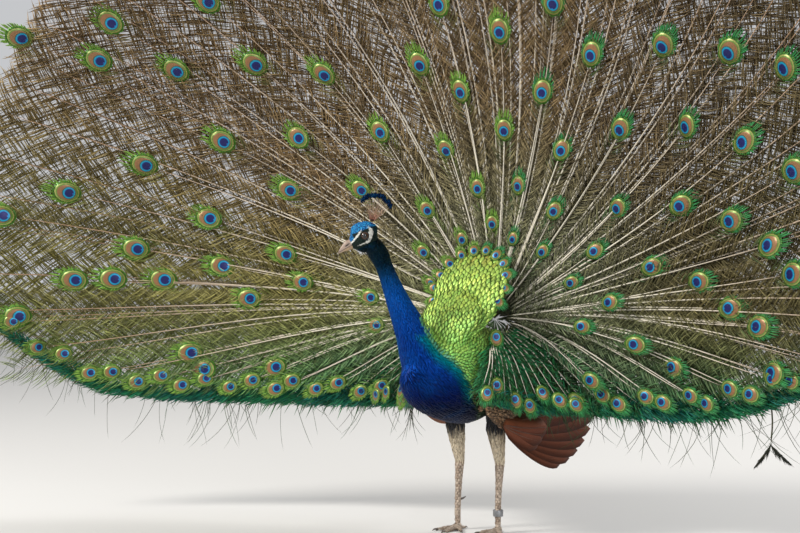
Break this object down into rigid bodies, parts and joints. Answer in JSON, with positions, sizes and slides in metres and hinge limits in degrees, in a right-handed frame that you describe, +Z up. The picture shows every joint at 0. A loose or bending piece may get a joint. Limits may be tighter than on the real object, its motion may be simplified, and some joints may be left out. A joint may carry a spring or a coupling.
{
  "type": "peacock figure",
  "caption": "Life-size standing Indian peacock in display, blue neck and breast, crested head turned aside, eyespotted train raised as a forward-curled fan.",
  "frame": {"origin": "on the floor, below the centre of the bird's bounding box", "axes": "+Z up, the bird's breast faces -Y, and +X is towards its left side and across the spread train"},
  "size_m": [2.491, 0.7982, 1.7518],
  "materials": {
    "peacock_blue": "glossy iridescent blue feathers",
    "crown_blue": "small scaly blue crown feathers",
    "bill_horn": "grey horn, slightly worn",
    "dark_iris": "wet dark brown eye",
    "crest_blue": "dark blue-green feather tips on bare shafts",
    "scale_gold": "golden green scale feathers with dark edges",
    "barred_buff": "buff wing coverts barred with black",
    "chestnut": "chestnut flight feathers",
    "buff_down": "short buff leg feathers",
    "shank_skin": "scaled cream-grey leg skin",
    "claw_horn": "dark horn",
    "band_metal": "dull grey metal, lightly scratched",
    "train_green": "loose bronze-green train feathers with eyespots",
    "edge_green": "dense emerald feather barbs",
    "tail_brown": "plain grey-brown stiff tail feathers",
    "grey_down": "soft grey-brown down"
  },
  "bodies": {
    "root": {"trunk": "peacock_blue", "neck_lower": "peacock_blue", "neck_upper": "peacock_blue", "head": "crown_blue", "eye_left": "dark_iris", "eye_right": "dark_iris", "bill_upper": "bill_horn", "bill_lower": "bill_horn", "crest": "crest_blue", "tail": "tail_brown", "train_inner_1": "train_green", "train_inner_2": "train_green", "train_inner_3": "train_green", "train_inner_4": "train_green", "train_inner_5": "train_green", "train_inner_6": "train_green", "train_outer_1": "train_green", "train_outer_2": "train_green", "train_outer_3": "train_green", "train_outer_4": "train_green", "train_outer_5": "train_green", "train_outer_6": "train_green", "train_outer_7": "train_green", "train_outer_8": "train_green", "train_outer_9": "train_green", "train_outer_10": "train_green", "train_outer_11": "train_green", "train_outer_12": "train_green", "shield": "scale_gold", "under_tail": "grey_down", "thigh_left": "grey_down", "shank_left": "buff_down", "tarsus_left": "shank_skin", "foot_left": "shank_skin", "claw_left_middle": "claw_horn", "claw_left_inner": "claw_horn", "claw_left_outer": "claw_horn", "claw_left_hind": "claw_horn", "spur_left": "claw_horn", "wing_coverts_left": "barred_buff", "wing_primaries_left": "chestnut", "train_edge_left": "edge_green", "thigh_right": "grey_down", "shank_right": "buff_down", "tarsus_right": "shank_skin", "foot_right": "shank_skin", "claw_right_middle": "claw_horn", "claw_right_inner": "claw_horn", "claw_right_outer": "claw_horn", "claw_right_hind": "claw_horn", "spur_right": "claw_horn", "wing_coverts_right": "barred_buff", "wing_primaries_right": "chestnut", "train_edge_right": "edge_green", "leg_band": "band_metal"}
  },
  "joints": []
}
